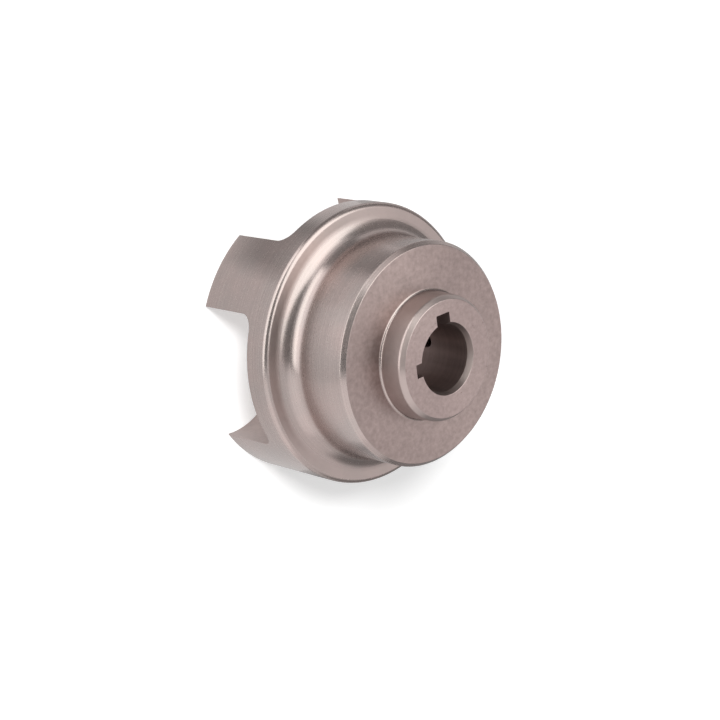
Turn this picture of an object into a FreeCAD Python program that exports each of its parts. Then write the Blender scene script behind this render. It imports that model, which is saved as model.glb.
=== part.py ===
import FreeCAD, Part
import math
import os

# One half of a jaw coupling, turned and milled from one piece of stainless steel.
# The bore runs along Z. The part stands on its claw tips at Z = 0, hub upwards.
# +Y passes through the middle of the wide keyway, and all lengths are in mm.

# Lengths along the bore, from the claw tips upwards
claw_length = 31.4
rim_width = 12.0
body_length = 33.9
hub_height = 12.8

# Turned outside, from the body outwards to the rim
body_radius = 49.8
body_edge_width = 1.7
body_edge_depth = 2.0
root_radius = 8.4
shoulder_width = 3.45
rim_edge_chamfer = 1.8

# Hub in front of the body
hub_radius = 27.7
hub_root_chamfer = 1.5
hub_chamfer_width = 1.7
hub_chamfer_depth = 2.2

# Bore with a long lead-in at the hub and a plain chamfer at the back
bore_radius = 15.0
bore_lead_width = 1.0
bore_lead_depth = 2.9
bore_back_chamfer = 1.0

# Two keyways a quarter turn apart, each as deep as stated beyond the bore
wide_key_width = 8.0
wide_key_depth = 5.2
narrow_key_width = 6.0
narrow_key_depth = 4.2
key_corner_radius = 0.4

# Tapping hole for the set screw, square to the bore and opposite the narrow keyway
screw_core_radius = 3.4
screw_from_face = 15.3
screw_countersink = 0.8

# Claws, left standing between round pockets
claw_count = 4
claw_neck_width = 11.0
claw_inner_radius = 30.0
claw_root_radius = 5.8
claw_tip_chamfer = 0.6
pocket_inset = 12.25
pocket_turn = 1.35

# How far each cutter runs past the surface that it opens
overrun = 1.0

# Places that follow from the sizes above
shoulder_z = claw_length + rim_width
face_z = shoulder_z + body_length
nose_z = face_z + hub_height
shoulder_radius = body_radius + root_radius + shoulder_width
rim_radius = shoulder_radius + rim_edge_chamfer
pocket_centre_radius = rim_radius - pocket_inset
pocket_radius = pocket_centre_radius * math.sin(math.pi / claw_count) - claw_neck_width / 2

origin = FreeCAD.Vector(0, 0, 0)
upwards = FreeCAD.Vector(0, 0, 1)
outwards = FreeCAD.Vector(1, 0, 0)


class HalfSection:
    """Closed outline in the XZ plane, drawn point by point and then turned about Z."""

    def __init__(self, radius, height):
        self.first = FreeCAD.Vector(radius, 0, height)
        self.last = self.first
        self.edges = []

    def line(self, radius, height):
        point = FreeCAD.Vector(radius, 0, height)
        self.edges.append(Part.makeLine(self.last, point))
        self.last = point

    def quarter(self, radius, height, centre_radius, centre_height):
        """Quarter arc to a point, about a centre that lies level with one of its ends."""
        point = FreeCAD.Vector(radius, 0, height)
        centre = FreeCAD.Vector(centre_radius, 0, centre_height)
        halfway = (self.last - centre) + (point - centre)
        middle = centre + halfway.normalize() * (point - centre).Length
        self.edges.append(Part.Arc(self.last, middle, point).toShape())
        self.last = point

    def turn(self):
        self.line(self.first.x, self.first.z)
        outline = Part.Face(Part.Wire(self.edges))
        return outline.revolve(origin, upwards, 360)


def make_blank():
    """Turned blank: claw ring, rim, body and hub, bored through."""
    section = HalfSection(bore_radius, claw_length + bore_back_chamfer)

    # Floor behind the claws, the wall inside them, and their tips
    section.line(bore_radius + bore_back_chamfer, claw_length)
    section.line(claw_inner_radius, claw_length)
    section.line(claw_inner_radius, claw_tip_chamfer)
    section.line(claw_inner_radius + claw_tip_chamfer, 0)
    section.line(rim_radius - claw_tip_chamfer, 0)

    # Outside of the claws and the rim, broken at the edge of the flat shoulder
    section.line(rim_radius, claw_tip_chamfer)
    section.line(rim_radius, shoulder_z - rim_edge_chamfer)
    section.line(shoulder_radius, shoulder_z)

    # Large hollow between the shoulder and the body
    root_start = body_radius + root_radius
    root_z = shoulder_z + root_radius
    section.line(root_start, shoulder_z)
    section.quarter(body_radius, root_z, root_start, root_z)

    # Body, its front face and the hub
    section.line(body_radius, face_z - body_edge_depth)
    section.line(body_radius - body_edge_width, face_z)
    section.line(hub_radius + hub_root_chamfer, face_z)
    section.line(hub_radius, face_z + hub_root_chamfer)
    section.line(hub_radius, nose_z - hub_chamfer_depth)
    section.line(hub_radius - hub_chamfer_width, nose_z)
    section.line(bore_radius + bore_lead_width, nose_z)
    section.line(bore_radius, nose_z - bore_lead_depth)
    return section.turn()


def pocket_cutter(angle):
    """Round pocket between two claws, with a hollow corner at its floor."""
    corner_radius = pocket_radius - claw_root_radius
    corner_z = claw_length - claw_root_radius
    section = HalfSection(0, claw_length)
    section.line(corner_radius, claw_length)
    section.quarter(pocket_radius, corner_z, corner_radius, corner_z)
    section.line(pocket_radius, claw_tip_chamfer)
    section.line(pocket_radius + claw_tip_chamfer + overrun, -overrun)
    section.line(0, -overrun)
    cutter = section.turn()
    cutter.translate(outwards * pocket_centre_radius)
    cutter.rotate(origin, upwards, angle)
    return cutter


def keyway_cutter(width, depth, angle):
    """Slot along the whole bore, with the two corners at its bottom rounded."""
    reach = bore_radius + depth
    start_z = claw_length - overrun
    length = nose_z + overrun - start_z
    slot = Part.makeBox(reach, width, length, FreeCAD.Vector(0, -width / 2, start_z))
    bottom_corners = []
    for edge in slot.Edges:
        spans = edge.BoundBox
        if spans.ZLength > length / 2 and spans.XMin > reach / 2:
            bottom_corners.append(edge)
    slot = slot.makeFillet(key_corner_radius, bottom_corners)
    slot.rotate(origin, upwards, angle)
    return slot


def screw_cutter():
    """Tapping hole from the bore out through the body, countersunk outside."""
    screw_z = face_z - screw_from_face
    centre = FreeCAD.Vector(0, 0, screw_z)
    hole = Part.makeCylinder(screw_core_radius, body_radius + overrun, centre, outwards)
    sink_start = FreeCAD.Vector(body_radius - screw_countersink, 0, screw_z)
    sink_length = screw_countersink + overrun
    sink = Part.makeCone(
        screw_core_radius, screw_core_radius + sink_length, sink_length, sink_start, outwards)
    return hole.fuse(sink)


def make_coupling_half():
    pockets = []
    for index in range(claw_count):
        pockets.append(pocket_cutter(pocket_turn + index * 360.0 / claw_count))
    wide_keyway = keyway_cutter(wide_key_width, wide_key_depth, 90)
    narrow_keyway = keyway_cutter(narrow_key_width, narrow_key_depth, 180)
    return make_blank().cut(pockets).cut([wide_keyway, narrow_keyway, screw_cutter()])


os.makedirs("parts", exist_ok=True)
coupling_half = make_coupling_half()
print("solids", len(coupling_half.Solids), "valid", coupling_half.isValid())
print("volume", round(coupling_half.Volume, 1), "rim radius", round(rim_radius, 2))
coupling_half.exportStep("parts/coupling_half.step")
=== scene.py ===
import math

import bpy
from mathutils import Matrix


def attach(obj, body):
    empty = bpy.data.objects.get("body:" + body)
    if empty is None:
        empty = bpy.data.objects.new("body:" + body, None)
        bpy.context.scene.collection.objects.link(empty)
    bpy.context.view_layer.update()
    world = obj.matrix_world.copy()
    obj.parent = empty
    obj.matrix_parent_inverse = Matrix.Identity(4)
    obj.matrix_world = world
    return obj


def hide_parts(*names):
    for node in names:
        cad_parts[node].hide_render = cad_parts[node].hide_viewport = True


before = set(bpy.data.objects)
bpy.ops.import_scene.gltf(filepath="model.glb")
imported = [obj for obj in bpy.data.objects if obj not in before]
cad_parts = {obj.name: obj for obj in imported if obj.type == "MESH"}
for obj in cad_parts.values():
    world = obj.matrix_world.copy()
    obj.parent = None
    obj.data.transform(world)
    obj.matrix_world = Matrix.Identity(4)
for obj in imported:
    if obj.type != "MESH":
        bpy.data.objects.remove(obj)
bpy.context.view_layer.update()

MM = 0.001

# Heights along the bore, from the claw tips upwards
POCKET_FLOOR = 31.4 * MM
SHOULDER = 43.4 * MM
BODY_FACE = 77.3 * MM
NOSE = 90.1 * MM

# Radii of the turned surfaces
BORE = 15.0 * MM
CLAW_WALL = 30.0 * MM
HUB = 27.7 * MM
BODY = 49.8 * MM
RIM = 63.45 * MM

# Chamfers of the turned section: widths across the bore, and depths along it
BACK_CHAMFER = 1.0 * MM
LEAD_WIDTH = 1.0 * MM
LEAD_DEPTH = 2.9 * MM
HUB_CHAMFER_WIDTH = 1.7 * MM
HUB_CHAMFER_DEPTH = 2.2 * MM
BODY_CHAMFER_WIDTH = 1.7 * MM
BODY_CHAMFER_DEPTH = 2.0 * MM

# How much wider the hub is at its root than at its chamfer
HUB_FLARE = 0.6 * MM

# Roundings of the turned section's corners
BROKEN_EDGE = 0.3 * MM
LEAD_MOUTH_ROUNDING = 0.2 * MM
CHAMFER_ROUNDING = 0.4 * MM
HUB_SIDE_ROUNDING = 2.0 * MM
HUB_ROOT = 1.2 * MM
LARGE_ROOT = 8.4 * MM
RIM_EDGE_ROUNDING = 2.4 * MM
CLAW_TIP_ROUNDING = 0.5 * MM
CLAW_FLOOR_ROUNDING = 0.8 * MM

# Pockets between the claws
POCKET_COUNT = 4
POCKET_CENTRE = 51.2 * MM
POCKET_RADIUS = 30.7 * MM
POCKET_CORNER = 5.8 * MM
POCKET_TURN = math.radians(1.35)

# Two keyways, each as deep as stated beyond the bore
WIDE_KEY_WIDTH = 8.0 * MM
WIDE_KEY_DEPTH = 5.2 * MM
NARROW_KEY_WIDTH = 6.0 * MM
NARROW_KEY_DEPTH = 4.2 * MM
KEY_CORNER = 0.4 * MM

# Tapped hole for the set screw, with its thread cut to full depth
SCREW_HEIGHT = 62.0 * MM
SCREW_CORE = 3.4 * MM
THREAD_DEPTH = 0.6 * MM
THREAD_PITCH = 1.25 * MM
TAP_RUN_IN = 3.0 * MM
COUNTERSINK_LENGTH = 3.0 * MM
COUNTERSINK_DEPTH = 1.1 * MM

# How finely round things are divided
TURN_STEPS = 256
POCKET_STEPS = 192
POCKET_CORNER_STEPS = 14
KEY_CORNER_STEPS = 3
THREAD_STEPS = 16
COUNTERSINK_STEPS = 64
SMOOTH_ANGLE = math.radians(32)

# How far each cutter runs past the surface that it opens, and how close counts as touching
OVERRUN = 2.0 * MM
TOUCH = 0.01 * MM
SAME_POINT = 0.001 * MM

# Slots of the finishes on the piece
TURNED, BODY_FRONT, HUB_FRONT, MILLED, BORED, FACED = range(6)

# Where one finish ends and the next begins
SKIN = 0.05 * MM
FACE_MARGIN = 0.1 * MM
HUB_SIDE_START = 1.0 * MM
KEYWAY_REACH = 5.5 * MM
SCREW_REACH = 4.1 * MM
UPRIGHT = 0.3
LEVEL = 0.95
DEAD_LEVEL = 0.98
OUTWARD = 0.95

# Looks that all the steel shares. An edge is worn where the rounded and the flat normal
# part: from UNWORN, where their product is near one, down to WORN
BEVEL_SAMPLES = 16
UNWORN, WORN = 0.99, 0.85
PATCH_LOW, PATCH_HIGH = 0.35, 0.65
MARK_LOW, MARK_HIGH = 0.25, 0.75
PATCHES_PER_METRE = 60
WORN_BRIGHTER = 0.07
WORN_SMOOTHER = 0.06
UNEVEN_POLISH = 0.02
GRAIN_RELIEF = 0.15
RELIEF_STRENGTH = 0.03
RELIEF_DEPTH = 0.02 * MM
SHEEN_SPREAD = 0.55
QUARTER_TURN_OF_SHEEN = 0.25

# Tool marks, as the number of them in a metre, and how far they are stretched along the bore
LATHE_RINGS = 1500
CUTTER_MARKS = 1000
CUTTER_STRETCH = 0.08
BORE_STREAKS = 170
BORE_STRETCH = 0.05
BORE_RING_SHARE = 0.4
BORE_TOTAL_SHARE = 0.714

# Light from the surround and the paper floor, by the kind of ray that meets them
SURROUND_ON_DIFFUSE = 0.32
SURROUND_SEEN = 1.0
PAPER_TONE = 0.8
PAPER_TONE_REFLECTED = 0.2
PAPER_GLOW_SEEN = 0.46
PAPER_GLOW_REFLECTED = 0.72
FLOOR_SIZE = 12
LAMP_TINT = (0.95, 1.0, 0.97)
HARD_EDGE = 0.001

# The camera, solved from the photograph: place in metres, turn in degrees, lens in mm
CAMERA_PLACE = (-0.55415, 0.26165, 0.65641)
CAMERA_TURN = (-11.236, -43.572, -9.953)
CAMERA_SENSOR = 36
CAMERA_LENS = 96.95


def in_radians(turn):
    return [math.radians(angle) for angle in turn]


def pick(piece):
    """Makes a piece the only one that the next operator acts on."""
    bpy.ops.object.select_all(action="DESELECT")
    bpy.context.view_layer.objects.active = piece
    piece.select_set(True)


def settle(piece):
    """Puts a piece's place into its mesh, so that its object sits at the origin."""
    pick(piece)
    bpy.ops.object.transform_apply(location=True, rotation=True, scale=True)


def apply_modifier(piece, kind, **settings):
    pick(piece)
    modifier = piece.modifiers.new(kind.lower(), kind)
    for name, value in settings.items():
        setattr(modifier, name, value)
    bpy.ops.object.modifier_apply(modifier=modifier.name)


def cut(piece, cutter):
    """Cuts the shape of a tool out of a piece and takes the tool away."""
    apply_modifier(piece, "BOOLEAN", operation="DIFFERENCE", solver="EXACT", object=cutter)
    bpy.data.objects.remove(cutter)


def edit_edges(piece, wanted):
    """Opens a piece for editing with only the edges selected whose two ends pass a test."""
    pick(piece)
    bpy.ops.object.mode_set(mode="EDIT")
    bpy.ops.mesh.select_mode(type="EDGE")
    bpy.ops.mesh.select_all(action="DESELECT")
    bpy.ops.object.mode_set(mode="OBJECT")
    for edge in piece.data.edges:
        start, end = [piece.data.vertices[corner].co for corner in edge.vertices]
        edge.select = wanted(start, end)
    bpy.ops.object.mode_set(mode="EDIT")


def rounded_outline(corners):
    """Rounds each (radius, height, rounding, steps) corner of a closed outline with an arc."""
    outline = []
    count = len(corners)
    for index in range(count):
        radius, height, rounding, steps = corners[index]
        before, after = corners[index - 1], corners[(index + 1) % count]
        to_before = (before[0] - radius, before[1] - height)
        to_after = (after[0] - radius, after[1] - height)
        length_before, length_after = math.hypot(*to_before), math.hypot(*to_after)
        to_before = (to_before[0] / length_before, to_before[1] / length_before)
        to_after = (to_after[0] / length_after, to_after[1] / length_after)
        half = math.acos(to_before[0] * to_after[0] + to_before[1] * to_after[1]) / 2
        reach = rounding / math.tan(half)
        start = (radius + to_before[0] * reach, height + to_before[1] * reach)
        end = (radius + to_after[0] * reach, height + to_after[1] * reach)
        inwards = (to_before[0] + to_after[0], to_before[1] + to_after[1])
        scale = rounding / math.sin(half) / math.hypot(*inwards)
        centre = (radius + inwards[0] * scale, height + inwards[1] * scale)
        angle = math.atan2(start[1] - centre[1], start[0] - centre[0])
        sweep = math.atan2(end[1] - centre[1], end[0] - centre[0]) - angle
        sweep = (sweep + math.pi) % (2 * math.pi) - math.pi
        for step in range(steps + 1):
            at = angle + sweep * step / steps
            point = (centre[0] + rounding * math.cos(at), centre[1] + rounding * math.sin(at))
            outline.append(point)
    return outline


def turn_blank():
    """The turned blank, drawn ring by ring round the bore from its back edge outwards."""
    outline = rounded_outline([
        (BORE, POCKET_FLOOR + BACK_CHAMFER, BROKEN_EDGE, 2),
        (BORE + BACK_CHAMFER, POCKET_FLOOR, BROKEN_EDGE, 2),
        (CLAW_WALL, POCKET_FLOOR, CLAW_FLOOR_ROUNDING, 5),
        (CLAW_WALL, 0, CLAW_TIP_ROUNDING, 4),
        (RIM, 0, CLAW_TIP_ROUNDING, 4),
        (RIM, SHOULDER, RIM_EDGE_ROUNDING, 10),
        (BODY, SHOULDER, LARGE_ROOT, 20),
        (BODY, BODY_FACE - BODY_CHAMFER_DEPTH, CHAMFER_ROUNDING, 3),
        (BODY - BODY_CHAMFER_WIDTH, BODY_FACE, BROKEN_EDGE, 3),
        (HUB + HUB_FLARE, BODY_FACE, HUB_ROOT, 8),
        (HUB, NOSE - HUB_CHAMFER_DEPTH, HUB_SIDE_ROUNDING, 6),
        (HUB - HUB_CHAMFER_WIDTH, NOSE, CHAMFER_ROUNDING, 3),
        (BORE + LEAD_WIDTH, NOSE, LEAD_MOUTH_ROUNDING, 3),
        (BORE, NOSE - LEAD_DEPTH, BROKEN_EDGE, 2),
    ])
    radius, height = outline[0]
    bpy.ops.object.select_all(action="DESELECT")
    bpy.ops.mesh.primitive_circle_add(vertices=TURN_STEPS, radius=radius, location=(0, 0, height))
    blank = bpy.context.active_object
    blank.name = "coupling_half_finished"
    settle(blank)
    bpy.ops.object.mode_set(mode="EDIT")
    bpy.ops.mesh.select_all(action="SELECT")
    for next_radius, next_height in outline[1:] + outline[:1]:
        rise = next_height - height
        growth = next_radius / radius
        bpy.ops.mesh.extrude_region_move(TRANSFORM_OT_translate={"value": (0, 0, rise)})
        bpy.ops.transform.resize(value=(growth, growth, 1), center_override=(0, 0, next_height))
        radius, height = next_radius, next_height
    bpy.ops.mesh.select_all(action="SELECT")
    bpy.ops.mesh.remove_doubles(threshold=SAME_POINT)
    bpy.ops.mesh.normals_make_consistent(inside=False)
    bpy.ops.object.mode_set(mode="OBJECT")
    return blank


def pocket_tool(angle):
    """Round cutter with a rounded end, standing in one gap between two claws."""
    place = (POCKET_CENTRE * math.cos(angle), POCKET_CENTRE * math.sin(angle), 0)
    depth = POCKET_FLOOR + OVERRUN
    centre = (place[0], place[1], POCKET_FLOOR - depth / 2)
    bpy.ops.object.select_all(action="DESELECT")
    bpy.ops.mesh.primitive_cylinder_add(
        vertices=POCKET_STEPS, radius=POCKET_RADIUS, depth=depth, location=centre)
    tool = bpy.context.active_object
    settle(tool)
    edit_edges(tool, lambda start, end: min(start.z, end.z) > POCKET_FLOOR - TOUCH)
    bpy.ops.mesh.bevel(offset=POCKET_CORNER, segments=POCKET_CORNER_STEPS)
    bpy.ops.object.mode_set(mode="OBJECT")
    return tool


def keyway_tool(width, depth, angle):
    """Bar with rounded corners that cuts one keyway along the whole bore."""
    length = NOSE - POCKET_FLOOR + 2 * OVERRUN

    def at_the_bottom(start, end):
        return abs(start.z - end.z) > length / 2 and min(start.x, end.x) > BORE

    bpy.ops.object.select_all(action="DESELECT")
    bpy.ops.mesh.primitive_cube_add(size=1, location=(0, 0, 0))
    tool = bpy.context.active_object
    tool.scale = (BORE + depth, width, length)
    tool.location = ((BORE + depth) / 2, 0, POCKET_FLOOR - OVERRUN + length / 2)
    settle(tool)
    edit_edges(tool, at_the_bottom)
    bpy.ops.mesh.bevel(offset=KEY_CORNER, segments=KEY_CORNER_STEPS)
    bpy.ops.object.mode_set(mode="OBJECT")
    tool.rotation_euler = (0, 0, angle)
    settle(tool)
    return tool


def tap_tool():
    """Tap for the set screw: one ring with a single tooth, drawn out and turned as it goes."""
    start = BORE - TAP_RUN_IN
    turns = round((BODY + OVERRUN - start) / THREAD_PITCH)
    ring = 2 * THREAD_STEPS
    bpy.ops.object.select_all(action="DESELECT")
    bpy.ops.mesh.primitive_circle_add(
        vertices=ring, radius=SCREW_CORE, fill_type="NGON", location=(start, 0, SCREW_HEIGHT),
        rotation=(0, math.pi / 2, 0))
    tool = bpy.context.active_object
    settle(tool)

    # The tooth's flanks stand 60 degrees apart
    for vertex in tool.data.vertices:
        turn = math.atan2(vertex.co.z - SCREW_HEIGHT, vertex.co.y)
        along = abs(turn) / (2 * math.pi) * THREAD_PITCH
        tooth = max(0.0, THREAD_DEPTH - along * math.sqrt(3))
        growth = 1 + tooth / SCREW_CORE
        vertex.co.y *= growth
        vertex.co.z = SCREW_HEIGHT + (vertex.co.z - SCREW_HEIGHT) * growth

    # Each step goes outwards and turns a little. The minus sign makes the thread right-handed
    bpy.ops.object.mode_set(mode="EDIT")
    bpy.ops.mesh.select_all(action="SELECT")
    at = start
    for step in range(turns * THREAD_STEPS):
        at += THREAD_PITCH / THREAD_STEPS
        bpy.ops.mesh.extrude_region_move(
            TRANSFORM_OT_translate={"value": (THREAD_PITCH / THREAD_STEPS, 0, 0)})
        bpy.ops.transform.rotate(
            value=-2 * math.pi / THREAD_STEPS, orient_axis="X",
            center_override=(at, 0, SCREW_HEIGHT))
    bpy.ops.mesh.select_all(action="SELECT")
    bpy.ops.mesh.normals_make_consistent(inside=False)
    bpy.ops.object.mode_set(mode="OBJECT")
    return tool


def countersink_tool():
    """Cone that breaks the outer mouth of the tapped hole."""
    length = COUNTERSINK_LENGTH
    start = BODY - COUNTERSINK_DEPTH
    bpy.ops.object.select_all(action="DESELECT")
    bpy.ops.mesh.primitive_cone_add(
        vertices=COUNTERSINK_STEPS, radius1=SCREW_CORE, radius2=SCREW_CORE + length, depth=length,
        location=(start + length / 2, 0, SCREW_HEIGHT), rotation=(0, math.pi / 2, 0))
    tool = bpy.context.active_object
    settle(tool)
    return tool


def build_coupling_half():
    piece = turn_blank()
    for index in range(POCKET_COUNT):
        cut(piece, pocket_tool(POCKET_TURN + index * 2 * math.pi / POCKET_COUNT))
    cut(piece, keyway_tool(WIDE_KEY_WIDTH, WIDE_KEY_DEPTH, math.pi / 2))
    cut(piece, keyway_tool(NARROW_KEY_WIDTH, NARROW_KEY_DEPTH, math.pi))
    cut(piece, tap_tool())
    cut(piece, countersink_tool())
    pick(piece)
    bpy.ops.object.shade_smooth_by_angle(angle=SMOOTH_ANGLE)
    apply_modifier(piece, "WEIGHTED_NORMAL", mode="FACE_AREA", keep_sharp=True)
    return piece


def new_material(name):
    material = bpy.data.materials.new(name)
    material.use_nodes = True
    return material, material.node_tree.nodes, material.node_tree.links


def math_node(nodes, links, operation, first, second=None, third=None):
    node = nodes.new("ShaderNodeMath")
    node.operation = operation
    for socket, value in zip(node.inputs, (first, second, third)):
        if value is None:
            continue
        if isinstance(value, (int, float)):
            socket.default_value = value
        else:
            links.new(value, socket)
    return node.outputs[0]


def noise(nodes, links, where, scale, detail, rough):
    """Noise from 0 to 1, its scale given as the number of patches in a metre."""
    texture = nodes.new("ShaderNodeTexNoise")
    texture.inputs["Scale"].default_value = scale
    texture.inputs["Detail"].default_value = detail
    texture.inputs["Roughness"].default_value = rough
    links.new(where, texture.inputs["Vector"])
    return texture.outputs[0]


def spread(nodes, links, value, low, high, to_low, to_high):
    """Stretches a value from one range to another and holds it at the ends."""
    ramp = nodes.new("ShaderNodeMapRange")
    links.new(value, ramp.inputs["Value"])
    ramp.inputs["From Min"].default_value = low
    ramp.inputs["From Max"].default_value = high
    ramp.inputs["To Min"].default_value = to_low
    ramp.inputs["To Max"].default_value = to_high
    return ramp.outputs["Result"]


def blend_colours(nodes, links, share, first, second):
    mix = nodes.new("ShaderNodeMix")
    mix.data_type = "RGBA"
    links.new(share, mix.inputs[0])
    for socket, colour in ((mix.inputs[6], first), (mix.inputs[7], second)):
        socket.default_value = (*colour, 1)
    return mix.outputs[2]


def worn_edges(nodes, links):
    """Rounds the look of every sharp edge a little, and says where such an edge is."""
    soft = nodes.new("ShaderNodeBevel")
    soft.samples = BEVEL_SAMPLES
    soft.inputs["Radius"].default_value = BROKEN_EDGE
    flat = nodes.new("ShaderNodeNewGeometry")
    along = nodes.new("ShaderNodeVectorMath")
    along.operation = "DOT_PRODUCT"
    links.new(soft.outputs["Normal"], along.inputs[0])
    links.new(flat.outputs["Normal"], along.inputs[1])
    worn = spread(nodes, links, along.outputs["Value"], UNWORN, WORN, 0, 1)
    return soft.outputs["Normal"], worn


def steel_finish(name, tone, second_tone, roughness, grooves, groove_share,
                 grain_size, grain_share):
    """Cut stainless steel: two close tones in soft patches, a fine grain, and the tool's marks."""
    material, nodes, links = new_material(name)
    shader = nodes["Principled BSDF"]
    where = nodes.new("ShaderNodeTexCoord").outputs["Object"]
    lines = grooves(nodes, links, where)
    patches = noise(nodes, links, where, PATCHES_PER_METRE, 2, 0.5)
    grain = noise(nodes, links, where, 1000 / grain_size, 3, 0.6)
    edge_normal, worn = worn_edges(nodes, links)

    # Colour: patches of two tones, then lighter and darker grain, grooves and worn edges
    patch_share = spread(nodes, links, patches, PATCH_LOW, PATCH_HIGH, 0, 1)
    colour = blend_colours(nodes, links, patch_share, tone, second_tone)
    shade = math_node(
        nodes, links, "ADD",
        spread(nodes, links, grain, MARK_LOW, MARK_HIGH, 1 - grain_share, 1 + grain_share),
        spread(nodes, links, lines, MARK_LOW, MARK_HIGH, -groove_share, groove_share))
    shade = math_node(nodes, links, "MULTIPLY_ADD", worn, WORN_BRIGHTER, shade)
    bright = nodes.new("ShaderNodeVectorMath")
    bright.operation = "SCALE"
    links.new(colour, bright.inputs[0])
    links.new(shade, bright.inputs["Scale"])
    links.new(bright.outputs[0], shader.inputs["Base Color"])
    shader.inputs["Metallic"].default_value = 1

    # Polish: a little uneven, and smoother on worn edges
    dull = math_node(
        nodes, links, "ADD",
        spread(nodes, links, grain, MARK_LOW, MARK_HIGH,
               roughness - UNEVEN_POLISH, roughness + UNEVEN_POLISH),
        spread(nodes, links, lines, MARK_LOW, MARK_HIGH, -UNEVEN_POLISH, UNEVEN_POLISH))
    dull = math_node(nodes, links, "MULTIPLY_ADD", worn, -WORN_SMOOTHER, dull)
    links.new(dull, shader.inputs["Roughness"])

    # Relief: the grooves, with some of the grain
    relief = math_node(nodes, links, "MULTIPLY_ADD", grain, GRAIN_RELIEF, lines)
    bump = nodes.new("ShaderNodeBump")
    bump.inputs["Strength"].default_value = RELIEF_STRENGTH
    bump.inputs["Distance"].default_value = RELIEF_DEPTH
    links.new(relief, bump.inputs["Height"])
    links.new(edge_normal, bump.inputs["Normal"])
    links.new(bump.outputs[0], shader.inputs["Normal"])
    return material, nodes, links, shader


def stretched_along_bore(nodes, links, where, stretch):
    squeeze = nodes.new("ShaderNodeMapping")
    squeeze.inputs["Scale"].default_value = (1, 1, stretch)
    links.new(where, squeeze.inputs["Vector"])
    return squeeze.outputs[0]


def turned_grooves(nodes, links, where):
    """Rings round the bore, a little uneven, as the lathe tool leaves them."""
    parts = nodes.new("ShaderNodeSeparateXYZ")
    links.new(where, parts.inputs[0])
    level = nodes.new("ShaderNodeCombineXYZ")
    links.new(parts.outputs[0], level.inputs[0])
    links.new(parts.outputs[1], level.inputs[1])
    radius = nodes.new("ShaderNodeVectorMath")
    radius.operation = "LENGTH"
    links.new(level.outputs[0], radius.inputs[0])
    ring = nodes.new("ShaderNodeCombineXYZ")
    links.new(radius.outputs["Value"], ring.inputs[0])
    links.new(parts.outputs[2], ring.inputs[1])
    return noise(nodes, links, ring.outputs[0], LATHE_RINGS, 2, 0.6)


def milled_grooves(nodes, links, where):
    """Fine marks that run long along the bore, as the side of a cutter leaves them."""
    along = stretched_along_bore(nodes, links, where, CUTTER_STRETCH)
    return noise(nodes, links, along, CUTTER_MARKS, 2, 0.6)


def bored_grooves(nodes, links, where):
    """Rings from the boring bar under a few long streaks that run along the bore."""
    along = stretched_along_bore(nodes, links, where, BORE_STRETCH)
    streaks = noise(nodes, links, along, BORE_STREAKS, 1, 0.5)
    rings = turned_grooves(nodes, links, where)
    both = math_node(nodes, links, "MULTIPLY_ADD", rings, BORE_RING_SHARE, streaks)
    return math_node(nodes, links, "MULTIPLY", both, BORE_TOTAL_SHARE)


def round_the_bore(nodes, links, shader):
    """Turns the sheen so that highlights spread across the lathe's grooves."""
    tangent = nodes.new("ShaderNodeTangent")
    tangent.direction_type = "RADIAL"
    tangent.axis = "Z"
    links.new(tangent.outputs["Tangent"], shader.inputs["Tangent"])
    shader.inputs["Anisotropic"].default_value = SHEEN_SPREAD
    shader.inputs["Anisotropic Rotation"].default_value = QUARTER_TURN_OF_SHEEN


def lathe_finish(name, **look):
    """Steel with the lathe's rings, whose sheen spreads across them."""
    material, nodes, links, shader = steel_finish(name, grooves=turned_grooves, **look)
    round_the_bore(nodes, links, shader)
    return material


def turned_steel():
    return lathe_finish(
        "turned_steel", tone=(0.422, 0.342, 0.324), second_tone=(0.392, 0.332, 0.316),
        roughness=0.26, groove_share=0.075, grain_size=1.5, grain_share=0.03)


# The body's front is faced like the hub's, but its darker tones are painted shade from the hub that
# stands out of it.
def body_face_painted_shade_steel():
    return lathe_finish(
        "body_face_painted_shade_steel", tone=(0.345, 0.266, 0.252), second_tone=(0.328, 0.254, 0.241),
        roughness=0.33, groove_share=0.03, grain_size=2.0, grain_share=0.17)


def hub_face_steel():
    return lathe_finish(
        "hub_face_steel", tone=(0.385, 0.295, 0.282), second_tone=(0.368, 0.284, 0.271),
        roughness=0.30, groove_share=0.03, grain_size=2.0, grain_share=0.15)


def faced_steel():
    return lathe_finish(
        "faced_steel", tone=(0.435, 0.352, 0.335), second_tone=(0.405, 0.335, 0.318),
        roughness=0.36, groove_share=0.03, grain_size=2.0, grain_share=0.03)


def milled_steel():
    return steel_finish(
        "milled_steel", tone=(0.430, 0.345, 0.325), second_tone=(0.400, 0.318, 0.300),
        roughness=0.34, grooves=milled_grooves, groove_share=0.05,
        grain_size=2.0, grain_share=0.10)[0]


def bored_steel():
    return steel_finish(
        "bored_steel", tone=(0.312, 0.238, 0.224), second_tone=(0.292, 0.222, 0.209),
        roughness=0.46, grooves=bored_grooves, groove_share=0.32,
        grain_size=1.5, grain_share=0.06)[0]


def finish_slot(face):
    """Slot of the finish for one face, from where it lies and which way it looks."""
    x, y, z = face.center
    up = face.normal.z
    radius = math.hypot(x, y)
    outwards = (x * face.normal.x + y * face.normal.y) / max(radius, MM)
    in_bore = radius < BORE + KEYWAY_REACH and z < NOSE - SKIN and abs(up) < UPRIGHT
    beside_screw = abs(y) < SCREW_REACH and abs(z - SCREW_HEIGHT) < SCREW_REACH
    if in_bore or (beside_screw and radius < BODY - SKIN):
        return BORED
    if z < POCKET_FLOOR + SKIN and outwards < OUTWARD and radius < RIM - FACE_MARGIN:
        return MILLED
    if up > LEVEL and z > NOSE - FACE_MARGIN:
        return HUB_FRONT
    if up > LEVEL and z > BODY_FACE - FACE_MARGIN:
        return BODY_FRONT
    if z > BODY_FACE + HUB_SIDE_START or (up > DEAD_LEVEL and z > SHOULDER - SKIN):
        return FACED
    return TURNED


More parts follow.
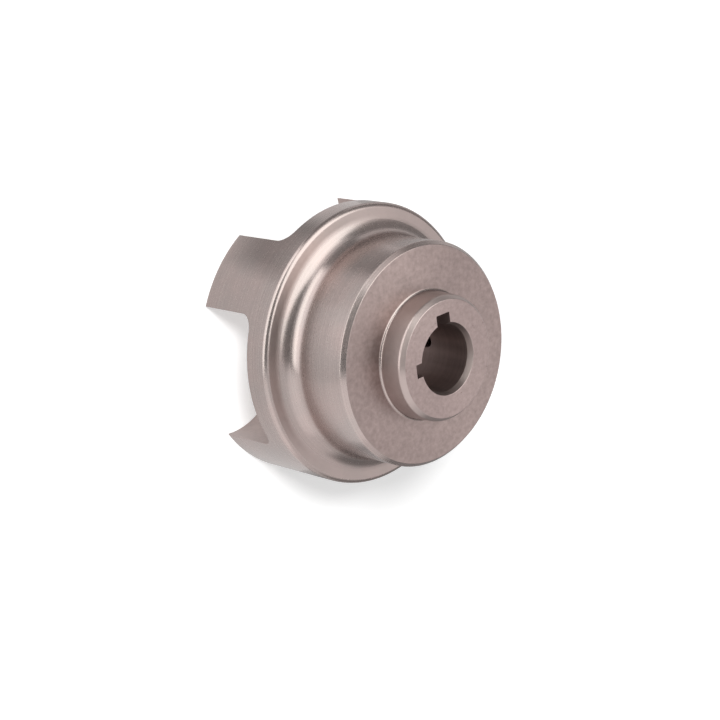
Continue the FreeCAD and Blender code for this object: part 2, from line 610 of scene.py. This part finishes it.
def finish_surfaces(piece):
    """Gives each face the finish that its cutter left, in the order of the slots."""
    finishes = (
        turned_steel(), body_face_painted_shade_steel(), hub_face_steel(),
        milled_steel(), bored_steel(), faced_steel())
    for material in finishes:
        piece.data.materials.append(material)
    for face in piece.data.polygons:
        face.material_index = finish_slot(face)


def backdrop_shares(nodes, links):
    """Shares of the rays that come from the camera, and from polished or clear surfaces."""
    path = nodes.new("ShaderNodeLightPath")
    polished = math_node(
        nodes, links, "MAXIMUM", path.outputs["Is Glossy Ray"], path.outputs["Is Transmission Ray"])
    return path.outputs["Is Camera Ray"], polished


def light_studio():
    world = bpy.data.worlds.new("studio")
    bpy.context.scene.world = world
    world.use_nodes = True
    nodes, links = world.node_tree.nodes, world.node_tree.links
    background = nodes["Background"]
    background.inputs["Color"].default_value = (1, 1, 1, 1)
    seen, polished = backdrop_shares(nodes, links)
    either = math_node(nodes, links, "MAXIMUM", seen, polished)
    strength = spread(nodes, links, either, 0, 1, SURROUND_ON_DIFFUSE, SURROUND_SEEN)
    links.new(strength, background.inputs["Strength"])


def soft_box(name, place, turn, width, height, power):
    bpy.ops.object.select_all(action="DESELECT")
    bpy.ops.object.light_add(type="AREA", location=place, rotation=in_radians(turn))
    lamp = bpy.context.active_object
    lamp.name = name
    lamp.data.shape = "RECTANGLE"
    lamp.data.size = width
    lamp.data.size_y = height
    lamp.data.energy = power
    lamp.data.color = LAMP_TINT
    return lamp


def soft_sun(name, place, turn, power, width):
    """Sun that throws the shadow on the floor and isn't seen in the metal. Width in degrees."""
    bpy.ops.object.light_add(type="SUN", location=place, rotation=in_radians(turn))
    sun = bpy.context.active_object
    sun.name = name
    sun.data.energy = power
    sun.data.angle = math.radians(width)
    sun.visible_glossy = False


def hang_lamps():
    overhead = soft_box(
        "overhead_soft_box", place=(0.33, 0.75, 1.15), turn=(0, 0, 0),
        width=1.35, height=1.7, power=12.2)
    overhead.visible_diffuse = False
    soft_box(
        "side_soft_box", place=(-0.632, 0.476, 0.168), turn=(81.5, 0, -127.0),
        width=1.5, height=0.32, power=2.9)
    soft_sun("shadow_lamp", place=(-0.2, 0.7, 1.2), turn=(0, 43, 132), power=2.2, width=13)


def card_paper(name, width, height, far_width, slide, tone, soft):
    """Glowing paper for a card, which turns clear towards the card's edges."""
    material, nodes, links = new_material(name + "_paper")
    shader = nodes["Principled BSDF"]
    shader.inputs["Base Color"].default_value = (0, 0, 0, 1)
    shader.inputs["Roughness"].default_value = 1.0
    shader.inputs["Specular IOR Level"].default_value = 0.0
    shader.inputs["Emission Color"].default_value = (1, 1, 1, 1)
    shader.inputs["Emission Strength"].default_value = tone
    parts = nodes.new("ShaderNodeSeparateXYZ")
    links.new(nodes.new("ShaderNodeTexCoord").outputs["Object"], parts.inputs[0])
    across, along = parts.outputs[0], parts.outputs[1]

    # Distance inwards from the nearest edge, on a card that slants from near to far
    from_near = math_node(nodes, links, "ADD", along, height / 2)
    centre = math_node(nodes, links, "MULTIPLY", from_near, slide / height)
    half_width = math_node(
        nodes, links, "MULTIPLY_ADD", from_near, (far_width - width) / height / 2, width / 2)
    from_centre = math_node(
        nodes, links, "ABSOLUTE", math_node(nodes, links, "SUBTRACT", across, centre))
    from_side = math_node(nodes, links, "SUBTRACT", half_width, from_centre)
    from_far = math_node(nodes, links, "SUBTRACT", height / 2, along)
    from_ends = math_node(nodes, links, "MINIMUM", from_near, from_far)
    inside = math_node(nodes, links, "MINIMUM", from_side, from_ends)
    solid = spread(nodes, links, inside, 0, soft, 0, 1)
    clear = nodes.new("ShaderNodeBsdfTransparent")
    fade = nodes.new("ShaderNodeMixShader")
    links.new(solid, fade.inputs[0])
    links.new(clear.outputs[0], fade.inputs[1])
    links.new(shader.outputs[0], fade.inputs[2])
    links.new(fade.outputs[0], nodes["Material Output"].inputs[0])
    return material


def studio_card(name, place, turn, width, height, tone, far_width=None, slide=0, soft=HARD_EDGE):
    """Card that only the polished metal sees. It fades out towards its edges, over the soft width.

    Its far edge can be of another width, and slid to one side.
    """
    if far_width is None:
        far_width = width
    bpy.ops.object.select_all(action="DESELECT")
    bpy.ops.mesh.primitive_plane_add(size=1)
    card = bpy.context.active_object
    card.name = name
    card.scale = (width, height, 1)
    settle(card)
    edit_edges(card, lambda start, end: min(start.y, end.y) > 0)
    bpy.ops.transform.resize(value=(far_width / width, 1, 1), center_override=(0, height / 2, 0))
    bpy.ops.transform.translate(value=(slide, 0, 0))
    bpy.ops.object.mode_set(mode="OBJECT")
    card.location = place
    card.rotation_euler = in_radians(turn)
    card.data.materials.append(card_paper(name, width, height, far_width, slide, tone, soft))
    card.visible_camera = False
    card.visible_diffuse = False
    card.visible_shadow = False


def floor_card(name, direction, near, far, half_angle, height, tone, soft=HARD_EDGE):
    """Card that lies on the floor and widens away from the object, between two distances."""
    angle = math.radians(direction)
    middle = (near + far) / 2
    growth = 2 * math.tan(math.radians(half_angle))
    studio_card(
        name, place=(middle * math.cos(angle), middle * math.sin(angle), height),
        turn=(0, 0, direction - 90), width=near * growth, height=far - near,
        far_width=far * growth, tone=tone, soft=soft)


def set_out_cards():
    """Cards for the metal to reflect. Those on the floor lie at heights of their own."""
    floor_card(
        "side_reflector", direction=144, near=0.13, far=0.72, half_angle=44,
        height=0.0010, tone=1.85)
    studio_card(
        "fill_card", place=(-0.568, -0.477, 0.35), turn=(68.0, -0.0, -50.0),
        width=0.85, height=0.75, tone=1.35)
    floor_card(
        "fill_reflector", direction=220, near=0.10, far=0.75, half_angle=30,
        height=0.0008, tone=1.2)
    studio_card(
        "camera_card", place=(-0.599, 0.443, 0.625), turn=(-14.3, -46.3, 4.4),
        width=1.376, height=1.239, far_width=0.12, slide=0.216, tone=0.26)
    studio_card(
        "back_card", place=(0.921, 0.469, 0.426), turn=(70.0, 0, 117.0),
        width=1.25, height=0.8, tone=0.33)
    studio_card(
        "top_card", place=(0.099, 0.509, 0.095), turn=(85.0, 0, 169.0),
        width=0.37, height=0.2, tone=0.36)
    floor_card(
        "top_floor_card", direction=82, near=0.085, far=0.50, half_angle=22,
        height=0.0012, tone=0.33, soft=0.03)
    # Dark card on the floor close by the claws: painted shade, standing in for the object's own
    # contact shadow in the claws' reflections.
    floor_card(
        "claw_contact_shadow_card", direction=109, near=0.058, far=0.110, half_angle=25,
        height=0.0011, tone=0.45, soft=0.018)
    # Dark standing card on the far side: painted shade, standing in for a table that lies in the
    # object's shadow.
    studio_card(
        "table_shadow_card", place=(0.295, -0.512, 0.154), turn=(80.0, 0, 30.0),
        width=0.80, height=0.50, far_width=0.64, tone=0.28, soft=0.12)
    # Its part that lies on the floor: painted shade in the same place.
    floor_card(
        "table_shadow_floor_card", direction=300, near=0.11, far=0.60, half_angle=34,
        height=0.0009, tone=0.35, soft=0.08)
    # Grey card flat on the floor behind the object: a painted shadow of the object, for the metal
    # to reflect.
    studio_card(
        "object_shadow_floor_card", place=(0.145, -0.068, 0.0006), turn=(0, 0, 244.7),
        width=0.32, height=0.30, far_width=0.45, tone=0.6)
    floor_card(
        "shade_card", direction=280, near=0.060, far=0.105, half_angle=26,
        height=0.0013, tone=0.22, soft=0.016)


def lay_floor():
    bpy.ops.object.select_all(action="DESELECT")
    bpy.ops.mesh.primitive_plane_add(size=FLOOR_SIZE)
    floor = bpy.context.active_object
    floor.name = "floor"
    material, nodes, links = new_material("white_paper")
    shader = nodes["Principled BSDF"]
    shader.inputs["Roughness"].default_value = 1.0
    shader.inputs["Specular IOR Level"].default_value = 0.0
    shader.inputs["Emission Color"].default_value = (1, 1, 1, 1)
    seen, polished = backdrop_shares(nodes, links)
    paper = blend_colours(nodes, links, polished, (PAPER_TONE,) * 3, (PAPER_TONE_REFLECTED,) * 3)
    links.new(paper, shader.inputs["Base Color"])
    reflected_glow = math_node(nodes, links, "MULTIPLY", polished, PAPER_GLOW_REFLECTED)
    glow = math_node(nodes, links, "MULTIPLY_ADD", seen, PAPER_GLOW_SEEN, reflected_glow)
    links.new(glow, shader.inputs["Emission Strength"])
    floor.data.materials.append(material)


def place_camera():
    bpy.ops.object.camera_add(location=CAMERA_PLACE)
    camera = bpy.context.active_object
    camera.rotation_euler = in_radians(CAMERA_TURN)
    camera.data.sensor_width = CAMERA_SENSOR
    camera.data.lens = CAMERA_LENS
    bpy.context.scene.camera = camera


piece = build_coupling_half()
finish_surfaces(piece)
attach(piece, "root")
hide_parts("coupling_half")

lay_floor()
light_studio()
hang_lamps()
set_out_cards()
place_camera()
bpy.context.scene.view_settings.view_transform = "Standard"
